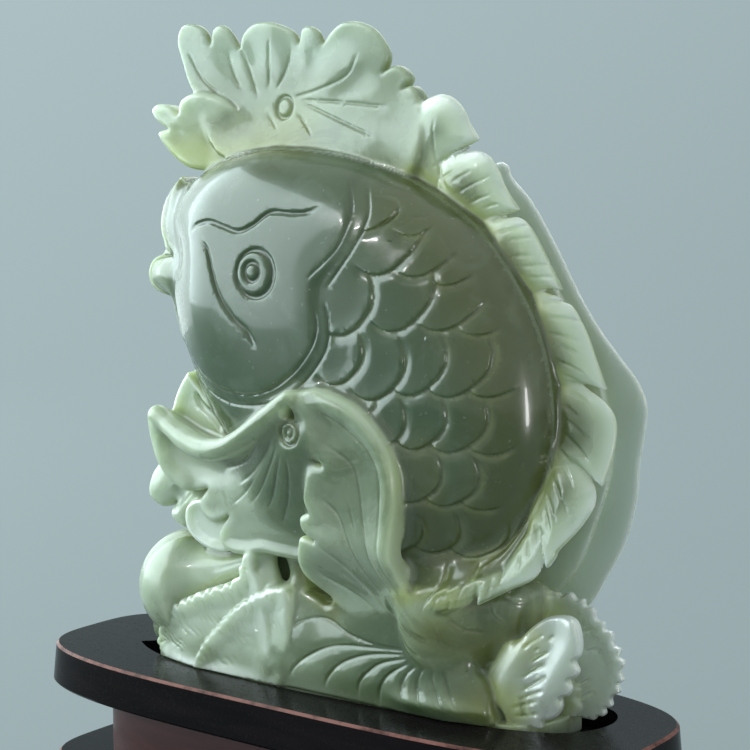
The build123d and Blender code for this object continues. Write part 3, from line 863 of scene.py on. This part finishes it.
def carve_waves():
    w, flat, _ = sheet(WAVE_BACK)
    flat = scallops(w, flat, BACK_EDGE, 4.9, 1.5)
    relief = ripple(w, BACK_EDGE, 2.7, 0.4, 0.25)
    hollow = 1.4 * smooth((-flat - 1.0) / 7.0)
    y_front = -19.0 - 5.0 * between(w.x, -76, -50)
    slab(w, flat, y_front + hollow + relief, -2.0, edge=1.6, stain=darker_towards_plate(w, 0.12), blend=1.0)

    w, flat, _ = sheet(WAVE_NEAR)
    flat = scallops(w, flat, NEAR_EDGE, 4.1, 0.7)
    relief = ripple(w, NEAR_EDGE, 2.9, 0.35, -0.2)
    hollow = 1.4 * smooth((-flat - 1.0) / 8.0)
    slab(w, flat, -24.5 + hollow + relief, -2.0, edge=1.9, stain=darker_towards_plate(w, 0.18), blend=1.0)


# Low leaf and waves on the far side --------------------------------------------

FAR_LEAF = [
    (-62, 30), (-66, 44), (-60, 58), (-50, 66), (-50, 66), (-44, 74), (-30, 80), (-16, 78),
    (-10, 72), (-10, 72), (2, 74), (14, 68), (20, 56), (18, 44), (18, 44), (26, 34), (24, 20),
    (10, 10), (-14, 6), (-38, 8), (-54, 16),
]
FAR_HUB = (-20.0, 44.0)
FAR_VEINS = 13
# middle and radius of each round wave
FAR_WAVES = [(-58, 4, 22), (38, 2, 24), (74, 4, 20), (-6, 0, 20)]


def carve_far_leaf():
    w, flat, relief = sheet(FAR_LEAF, steps=4)
    hx, hz = FAR_HUB
    for k in range(FAR_VEINS):
        a = 2 * math.pi * k / FAR_VEINS + 0.2
        reach = 30 + 8 * math.cos(a)
        groove(w, relief, [(hx + 7 * math.cos(a), hz + 7 * math.sin(a)),
                           (hx + 18 * math.cos(a + 0.08), hz + 16 * math.sin(a + 0.08)),
                           (hx + reach * math.cos(a), hz + 0.8 * reach * math.sin(a))], 0.9, 1.1)
    rings(w, relief, FAR_HUB, (4.6, 2.0), 1.0, 0.9)
    r = np.hypot(w.x - hx, w.z - hz)
    y_back = 24.0 + 4.5 * smooth((r - 4) / 34.0)
    slab(w, flat, y_back - 16.0, y_back - relief, edge=2.6, stain=0.4, blend=2.0)


def carve_far_waves():
    a = np.linspace(0, 2 * np.pi, 40, endpoint=False)
    for n, (cx, cz, radius) in enumerate(FAR_WAVES):
        ring_line = np.stack([cx + radius * np.cos(a), cz + 0.95 * radius * np.sin(a)], 1)
        w = Patch(ring_line, 5.0)
        flat = outline_distance(w, ring_line)
        turn = np.arctan2(w.z - cz, w.x - cx)
        flat = flat - 0.9 * np.cos(turn * 22)
        hatch = 0.45 * (0.5 + 0.5 * np.cos(turn * 44)) ** 2 * smooth(-flat / 3.0)
        y_back = 19.5 + 1.2 * (n % 2) - 2.0 * smooth(-flat / 12.0) - hatch
        slab(w, flat, 6.0, y_back, edge=2.0, stain=0.3, blend=1.0)


TENON = [
    (-80, -9.5), (-62, -17.5), (-40, -20.5), (0, -21.8), (45, -19.8), (74, -16.2), (86, -10),
    (90, 0), (90, 10), (86, 18), (50, 21), (0, 20.5), (-40, 16), (-66, 4),
]


def carve_tenon():
    """The foot that stands in the stand's socket. Outside it the stone ends just above the plate."""
    plan = Patch([(LOW[0], LOW[1]), (HIGH[0], HIGH[1])], 1.0, across=GY)
    flat = outline_distance(plan, flow(TENON, closed=True))
    iz = span(GZ, TENON_LOW - 2, 9.0)
    z = GZ[iz][None, None, :]
    clearance = 0.3
    floor = np.where(flat > -clearance, clearance, TENON_LOW)
    field[:, :, iz] = np.maximum(field[:, :, iz], floor[:, :, None] - z)
    field[:, :, : iz.start] = OUTSIDE
    g = np.maximum(flat[:, :, None], np.maximum(TENON_LOW - z, z - 0.4))
    join(slice(None), slice(None), iz, g.astype(np.float32), blend=0.0, stain=0.7)


carve_fish()
carve_fin()
carve_back_leaf()
carve_crown()
carve_flap()
carve_core()
carve_foot_leaves()
carve_bud()
carve_waves()
carve_far_leaf()
carve_far_waves()
carve_petals()
carve_front_leaf()
carve_stem()
carve_keel()
carve_tail_lower()
carve_tail_upper()
carve_tenon()


# From field to one closed mesh -------------------------------------------------

def sample(points, volume=field):
    """A volume's value at points in millimetres, between its grid values."""
    p = (points - LOW) / VOX
    top = np.array(field.shape) - 2
    i = np.clip(np.floor(p).astype(np.int32), 0, top)
    t = np.clip(p - i, 0, 1).astype(np.float32)
    out = np.zeros(len(points), np.float32)
    for dx in (0, 1):
        for dy in (0, 1):
            for dz in (0, 1):
                weight = ((t[:, 0] if dx else 1 - t[:, 0]) * (t[:, 1] if dy else 1 - t[:, 1])
                          * (t[:, 2] if dz else 1 - t[:, 2]))
                out += weight * volume[i[:, 0] + dx, i[:, 1] + dy, i[:, 2] + dz]
    return out


# lines along seams and edges where a warm olive glow is painted, for light scattered inside the stone: a
# line in x and z, and how far the colour reaches
OLIVE_GLOW_LINES = [
    ([(-70, 187), (-54, 188), (-36, 191), (-16, 192)], 10.0), (FIN_BASE, 4.0),
    ([(38, 170), (54, 158), (67, 139), (77, 120), (81, 104), (80, 90), (75, 71), (62, 57)], 13.0),
    ([(56, 88), (57, 70), (57, 54), (62, 43)], 9.0), ([(58, 30), (72, 26), (82, 30)], 9.0),
    ([(72, 8), (78, 6)], 8.0), ([(-2, 40), (4, 36), (12, 30)], 5.0),
]


def skin(co):
    """What the stone's looks depend on, at points of its surface."""
    normal = np.stack([sample(co + step) - sample(co - step) for step in 0.6 * np.eye(3)], 1)
    normal /= np.linalg.norm(normal, axis=1, keepdims=True) + 1e-9
    count = len(co)
    depth = np.zeros(count, np.float32)
    for s in (3.0, 6.0, 10.0, 15.0, 21.0):
        depth = np.maximum(depth, -sample(co - normal * s))
    # how shut in the surface is outwards: the jade paints hollows olive from this, as painted shade
    shade = np.zeros(count, np.float32)
    for s, k in ((1.5, 0.25), (3.5, 0.35), (7.0, 0.4)):
        shade += k * np.clip(1.0 - sample(co + normal * s) / s, 0, 1.5)
    fine = np.clip(1.0 - sample(co + normal * 0.9) / 0.9, 0, 1)
    stain = np.zeros(count, np.float32)
    nearby = ((0, 0, 0), (1, 0, 0), (-1, 0, 0), (0, 0, 1), (0, 0, -1))
    for shift in nearby:
        stain += sample(co + np.array(shift) - 0.7 * normal, tone) / len(nearby)
    # painted olive glow near the glow lines, for light scattered inside the stone; it fades out towards the
    # back
    olive_glow = np.zeros(count, np.float32)
    for line, reach in OLIVE_GLOW_LINES:
        far = line_distance(co[:, 0], co[:, 2], flow(line, steps=2))[0]
        olive_glow = np.maximum(olive_glow, np.exp(-(far / reach) ** 2) * smooth((24.0 - co[:, 1]) / 6.0))
    return {"thick": np.clip(depth / 16.0, 0, 1), "hollow": np.clip(shade, 0, 1), "cut": fine,
            "stain": stain, "olive_glow": olive_glow}


def stone_mesh():
    grid = openvdb.FloatGrid(OUTSIDE)
    grid.copyFromArray(np.clip(field, -6.0, 6.0))
    grid.transform = openvdb.createLinearTransform(voxelSize=VOX)
    points, tris, quads = grid.convertToPolygons(0.0, 0.015)
    world = (np.asarray(points, np.float64) + LOW + ORIGIN) / MM
    faces = [tuple(f[::-1]) for f in tris.tolist() + quads.tolist()]
    mesh = bpy.data.meshes.new("jade_stone")
    mesh.from_pydata(world.tolist(), [], faces)
    mesh.validate()
    mesh.update()
    mesh.polygons.foreach_set("use_smooth", np.ones(len(mesh.polygons), bool))
    co = np.empty(len(mesh.vertices) * 3)
    mesh.vertices.foreach_get("co", co)
    for name, values in skin(co.reshape(-1, 3) * MM - ORIGIN).items():
        layer = mesh.attributes.new(name, "FLOAT", "POINT")
        layer.data.foreach_set("value", values.astype(np.float32))
    return mesh


stone = bpy.data.objects.new("jade_stone", stone_mesh())
bpy.context.scene.collection.objects.link(stone)
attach(stone, "carving")
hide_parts("jade_carving")


# Materials ------------------------------------------------------------------

def plug(tree, socket, value):
    """Sets a socket, or links it when the value is another node's output."""
    if hasattr(value, "links"):
        tree.links.new(value, socket)
    elif isinstance(value, tuple):
        socket.default_value = (*value, 1.0)[:len(socket.default_value)]
    else:
        socket.default_value = value


def feed(tree, n, values):
    """Sets or links several inputs of a node."""
    for key, value in values.items():
        plug(tree, n.inputs[key], value)


def node(tree, kind, values, output=0, **settings):
    """A new shader node with its settings and inputs; gives one of its outputs."""
    n = tree.nodes.new("ShaderNode" + kind)
    for name, value in settings.items():
        setattr(n, name, value)
    feed(tree, n, values)
    return n.outputs[output]


def material(name):
    """A new material, its node tree and its Principled shader."""
    m = bpy.data.materials.new(name)
    m.use_nodes = True
    tree = m.node_tree
    tree.nodes.clear()
    out = tree.nodes.new("ShaderNodeOutputMaterial")
    p = tree.nodes.new("ShaderNodeBsdfPrincipled")
    tree.links.new(p.outputs[0], out.inputs[0])
    return m, tree, p


def ramp(tree, source, stops):
    """Turns a value into colours or greys, given as (value, colour) stops."""
    n = tree.nodes.new("ShaderNodeValToRGB")
    e = n.color_ramp.elements
    while len(e) < len(stops):
        e.new(0.5)
    for k, (pos, colour) in enumerate(stops):
        e[k].position = pos
        e[k].color = (*colour, 1.0) if isinstance(colour, tuple) else (colour, colour, colour, 1.0)
    tree.links.new(source, n.inputs[0])
    return n.outputs[0]


def mix(tree, factor, a, b):
    return node(tree, "Mix", {0: factor, 6: a, 7: b}, 2, data_type="RGBA")


def calc(tree, op, a, b, clamp=False):
    return node(tree, "Math", {0: a, 1: b}, operation=op, use_clamp=clamp)


def attribute(tree, name):
    return node(tree, "Attribute", {}, "Fac", attribute_name=name)


def place(tree, stretch=None):
    """Where a point of the piece is, at rest, stretched along its grain if asked."""
    coord = node(tree, "TexCoord", {}, "Object")
    if stretch is None:
        return coord
    return node(tree, "Mapping", {"Vector": coord, "Scale": stretch})


def noise(tree, coord, scale, detail=4.0, rough=0.5, distort=0.0):
    return node(tree, "TexNoise", {"Vector": coord, "Scale": scale, "Detail": detail,
                                   "Roughness": rough, "Distortion": distort}, "Fac")


def bump(tree, p, height, strength, distance):
    bumped = node(tree, "Bump", {"Strength": strength, "Distance": distance, "Height": height})
    tree.links.new(bumped, p.inputs["Normal"])


def jade():
    """Celadon nephrite: dark where it is thick, milky at thin edges, with olive painted into hollows as
    their shade and along seams as the glow of light scattered inside the stone.
    """
    m, t, p = material("jade_polished")
    coord = place(t)
    thick = attribute(t, "thick")
    hollow = attribute(t, "hollow")
    cut = attribute(t, "cut")
    cloud = calc(t, "SUBTRACT", noise(t, coord, 16.0, 5.0, 0.55, 0.5), 0.5)
    smoke = ramp(t, noise(t, coord, 24.0, 5.0, 0.6, 1.6), [(0.50, 0.0), (0.62, 1.0), (0.70, 0.0)])
    stain = attribute(t, "stain")
    weight = calc(t, "ADD", calc(t, "MULTIPLY", thick, 0.38), calc(t, "MULTIPLY", stain, 0.62))
    murk = calc(t, "ADD", calc(t, "MULTIPLY", cloud, 0.22), calc(t, "MULTIPLY", smoke, 0.07))
    body = calc(t, "ADD", weight, murk)
    base = ramp(t, body, [
        (0.06, (0.66, 0.74, 0.66)), (0.22, (0.55, 0.63, 0.52)), (0.42, (0.345, 0.41, 0.305)),
        (0.66, (0.125, 0.170, 0.092)), (0.92, (0.043, 0.078, 0.032)),
    ])
    film = ramp(t, thick, [(0.0, 0.38), (0.18, 0.0)])
    base = mix(t, film, base, (0.44, 0.52, 0.53))
    olive_glow_weight = calc(t, "MULTIPLY", attribute(t, "olive_glow"), 0.95)
    # painted shade: hollows turn olive, and the painted olive glow is added along the glow lines
    painted_shade_and_glow = calc(t, "ADD", calc(t, "MULTIPLY", hollow, 0.7), olive_glow_weight, True)
    olive = mix(t, painted_shade_and_glow, base, ramp(t, body, [(0.1, (0.52, 0.60, 0.29)), (0.38, (0.34, 0.40, 0.16)),
                                              (0.60, (0.135, 0.158, 0.050)),
                                              (0.9, (0.062, 0.080, 0.018))]))
    veil = ramp(t, noise(t, coord, 55.0, 4.0, 0.6, 0.8), [(0.52, 0.0), (0.78, 1.0)])
    milk = mix(t, calc(t, "MULTIPLY", veil, 0.10), olive, (0.50, 0.58, 0.50))
    speck = ramp(t, noise(t, coord, 420.0, 2.0, 0.5), [(0.70, 0.0), (0.76, 1.0)])
    fleck = mix(t, calc(t, "MULTIPLY", speck, 0.12), milk, (0.60, 0.66, 0.58))
    # cuts turn paler: partly the frosted ground surface of a cut, partly painted light caught in the groove
    # bottoms
    frost_and_lit_cuts = mix(t, calc(t, "MULTIPLY", cut, 0.55, True), fleck, (0.30, 0.36, 0.27))
    gloss = ramp(t, body, [(0.15, 0.16), (0.6, 0.0)])
    haze = calc(t, "ADD", ramp(t, noise(t, coord, 38.0, 5.0, 0.6), [(0.3, 0.20), (0.8, 0.30)]), gloss)
    ground = mix(t, calc(t, "MULTIPLY", cut, 0.7, True), haze, (0.45, 0.45, 0.45))
    feed(t, p, {
        "Base Color": frost_and_lit_cuts, "Roughness": ground, "IOR": 1.55,
        "Transmission Weight": ramp(t, body, [(0.08, 0.45), (0.20, 0.25), (0.34, 0.0)]),
        "Coat Weight": ramp(t, body, [(0.2, 0.22), (0.75, 0.48)]), "Coat Roughness": 0.05,
        "Subsurface Weight": 0.9, "Subsurface Scale": 0.013,
        "Subsurface Radius": (0.95, 1.0, 0.74),
    })
    bump(t, p, noise(t, coord, 130.0, 3.0, 0.5), 0.06, 0.0004)
    return m


stone.data.materials.append(jade())


def lacquer(name, colours, rough, grain_scale=4.0, worn=None, shine=1.16):
    """Brushed lacquer over wood. A worn edge is a thin line where the top face turns down."""
    m, t, p = material(name)
    grained = place(t, (6.0, 60.0, 60.0))
    grain = noise(t, grained, grain_scale, 6.0, 0.65, 0.6)
    base = ramp(t, grain, [(0.3, colours[0]), (0.7, colours[1])])
    if worn:
        colour, edge_height = worn
        facing_up = node(t, "SeparateXYZ", {0: node(t, "NewGeometry", {}, "Normal")}, "Z")
        leaning = ramp(t, facing_up, [(0.30, 0.0), (0.45, 1.0), (0.88, 1.0), (0.96, 0.0)])
        height = node(t, "SeparateXYZ", {0: place(t)}, "Z")
        near_top = calc(t, "GREATER_THAN", height, edge_height)
        scuff = ramp(t, noise(t, place(t), 130.0, 4.0, 0.7), [(0.30, 0.25), (0.55, 1.0)])
        rub = calc(t, "MULTIPLY", calc(t, "MULTIPLY", leaning, near_top), scuff)
        base = mix(t, rub, base, colour)
    speck = noise(t, place(t), 900.0, 2.0, 0.5)
    dull = ramp(t, speck, [(0.55, rough), (0.80, rough + 0.25)])
    feed(t, p, {"Base Color": base, "Roughness": dull, "IOR": shine})
    bump(t, p, noise(t, grained, 12.0, 4.0, 0.6), 0.12, 0.0003)
    return m


def dress(name, m):
    """Gives a CAD node its material."""
    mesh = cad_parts[name].data
    mesh.materials.clear()
    mesh.materials.append(m)


BLACK = ((0.0042, 0.0036, 0.0042), (0.0090, 0.0068, 0.0078))
RED = ((0.048, 0.0130, 0.0140), (0.080, 0.0210, 0.0220))
BEECH = ((0.42, 0.28, 0.16), (0.55, 0.38, 0.23))
WORN_DEPTH = 0.0016
upper_edge = board_high.z - WORN_DEPTH
lower_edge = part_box("lower_board")[1].z - WORN_DEPTH

dress("top_board", lacquer("black_lacquer", BLACK, 0.20, worn=((0.21, 0.095, 0.080), upper_edge)))
dress("lower_board", lacquer("low_black_lacquer", BLACK, 0.14, worn=((0.30, 0.13, 0.10), lower_edge)))
dress("waist_ring", lacquer("red_lacquer", RED, 0.30, shine=1.5))
dress("top_dowels", lacquer("beech", BEECH, 0.55, grain_scale=9.0))


def felt(name, colour):
    """Short wool fibres: darker between them, with a soft sheen."""
    m, t, p = material(name)
    fuzz = noise(t, place(t), 1500.0, 4.0, 0.7)
    dark = tuple(0.5 * c for c in colour)
    shade = ramp(t, fuzz, [(0.3, dark), (0.7, colour)])
    feed(t, p, {"Base Color": shade, "Roughness": 0.95, "Sheen Weight": 0.4})
    bump(t, p, fuzz, 0.6, 0.0005)
    return m


dress("socket_felt", felt("socket_felt", (0.012, 0.012, 0.013)))
dress("base_felt", felt("base_felt", (0.02, 0.07, 0.035)))


def steel():
    m, t, p = material("screw_steel")
    grit = noise(t, place(t), 800.0, 3.0, 0.6)
    shade = ramp(t, grit, [(0.3, (0.42, 0.41, 0.38)), (0.7, (0.62, 0.61, 0.58))])
    dull = ramp(t, grit, [(0.3, 0.22), (0.7, 0.4)])
    feed(t, p, {"Base Color": shade, "Metallic": 1.0, "Roughness": dull})
    return m


dress("base_screws", steel())


# Floor, backdrop, camera and light ---------------------------------------------

# the camera: degrees round to the right, degrees up, and metres from what it looks at
CAMERA_TURN = 36.18
CAMERA_RISE = 6.29
CAMERA_FAR = 0.600
# what it looks at: metres to the right of the stand's middle, and above the plate
AIM_ALONG = 0.01472
AIM_ABOVE = 0.11022
AIM = (CENTRE_X / MM + AIM_ALONG, CENTRE_Y / MM, PLATE / MM + AIM_ABOVE)
# its sensor's width and its lens, in millimetres
SENSOR = 36.0
FOCAL = 82.5192
# the backdrop's own glow, and how it changes per metre to the right, to the back and upwards
GLOW = 0.365
GLOW_SLOPES = (-0.066, 0.044, 0.06)


def cyclorama():
    """A floor that curves up into a wall behind the object, facing the camera, with a faint glow."""
    floor_near = -2.4
    bend_start = 1.0
    bend = 1.2
    wall_top = 4.0
    half_width = 4.5
    profile = [(floor_near, 0.0)]
    bend_steps = 16
    for k in range(bend_steps + 1):
        a = math.pi / 2 * k / bend_steps
        profile.append((bend_start + bend * math.sin(a), bend - bend * math.cos(a)))
    profile.append((bend_start + bend, wall_top))
    turn = math.radians(CAMERA_TURN)
    verts = []
    for s, z in profile:
        for side in (-half_width, half_width):
            verts.append((side * math.cos(turn) - s * math.sin(turn),
                          side * math.sin(turn) + s * math.cos(turn), z))
    faces = [(2 * k, 2 * k + 1, 2 * k + 3, 2 * k + 2) for k in range(len(profile) - 1)]
    mesh = bpy.data.meshes.new("studio_sweep")
    mesh.from_pydata(verts, [], faces)
    mesh.polygons.foreach_set("use_smooth", [True] * len(mesh.polygons))
    sweep = bpy.data.objects.new("studio_sweep", mesh)
    bpy.context.scene.collection.objects.link(sweep)
    m, t, p = material("studio_paper")
    fibre = noise(t, place(t), 2.0)
    shade = ramp(t, fibre, [(0.3, (0.026, 0.033, 0.034)), (0.7, (0.028, 0.035, 0.036))])
    turned = node(t, "Mapping", {"Vector": place(t), "Rotation": (0.0, 0.0, -turn)})
    glow = GLOW
    for axis, slope in zip("XYZ", GLOW_SLOPES):
        along = node(t, "SeparateXYZ", {0: turned}, axis)
        glow = calc(t, "ADD", glow, calc(t, "MULTIPLY", along, slope))
    feed(t, p, {"Base Color": shade, "Roughness": 1.0, "Specular IOR Level": 0.1,
                "Emission Color": (0.765, 0.965, 1.0), "Emission Strength": glow})
    mesh.materials.append(m)


def aimed(ob, at):
    """Puts a light or the camera into the scene, looking at AIM."""
    ob.location = at
    ob.rotation_euler = (Vector(AIM) - Vector(at)).to_track_quat("-Z", "Y").to_euler()
    bpy.context.scene.collection.objects.link(ob)


def around(turn_deg, rise_deg, far):
    """A place round AIM: degrees from the front to the right, degrees up, and metres away."""
    a = math.radians(turn_deg)
    e = math.radians(rise_deg)
    return (AIM[0] + far * math.sin(a) * math.cos(e), AIM[1] - far * math.cos(a) * math.cos(e),
            AIM[2] + far * math.sin(e))


def softbox(name, turn, rise, far, size, power, colour=(1, 1, 1)):
    """A lamp with a flat front: its size in metres and its power in watts."""
    light = bpy.data.lights.new(name, "AREA")
    light.shape = "RECTANGLE"
    light.size, light.size_y = size
    light.energy = power
    light.color = colour
    aimed(bpy.data.objects.new(name, light), around(turn, rise, far))


camera = bpy.data.cameras.new("camera")
camera.lens = FOCAL
camera.sensor_width = SENSOR
camera.clip_start = 0.01
camera_object = bpy.data.objects.new("camera", camera)
aimed(camera_object, around(CAMERA_TURN, CAMERA_RISE, CAMERA_FAR))
bpy.context.scene.camera = camera_object
bpy.context.scene.view_settings.view_transform = "Standard"

cyclorama()
softbox("key", -65, 22.5, 1.0, (1.12, 1.0), 13.8, (0.84, 1.0, 1.03))
softbox("side", -107, 12, 1.2, (0.72, 1.1), 3.4, (0.88, 1.0, 1.0))
softbox("top", 10, 84, 1.4, (1.8, 1.8), 2.5, (0.95, 0.99, 1.0))
softbox("strip", 78, 0, 1.1, (0.10, 0.30), 1.8)
softbox("behind", 200, 35, 1.3, (0.9, 0.7), 2.5, (0.95, 1.0, 1.0))
softbox("spot_high", -26, 40, 1.2, (0.035, 0.035), 0.8)
softbox("spot_low", -21, 37, 1.2, (0.03, 0.03), 0.5)
world = bpy.data.worlds.new("studio")
world.use_nodes = True
background = world.node_tree.nodes["Background"]
background.inputs["Color"].default_value = (0.66, 0.73, 0.72, 1)
background.inputs["Strength"].default_value = 0.95
bpy.context.scene.world = world
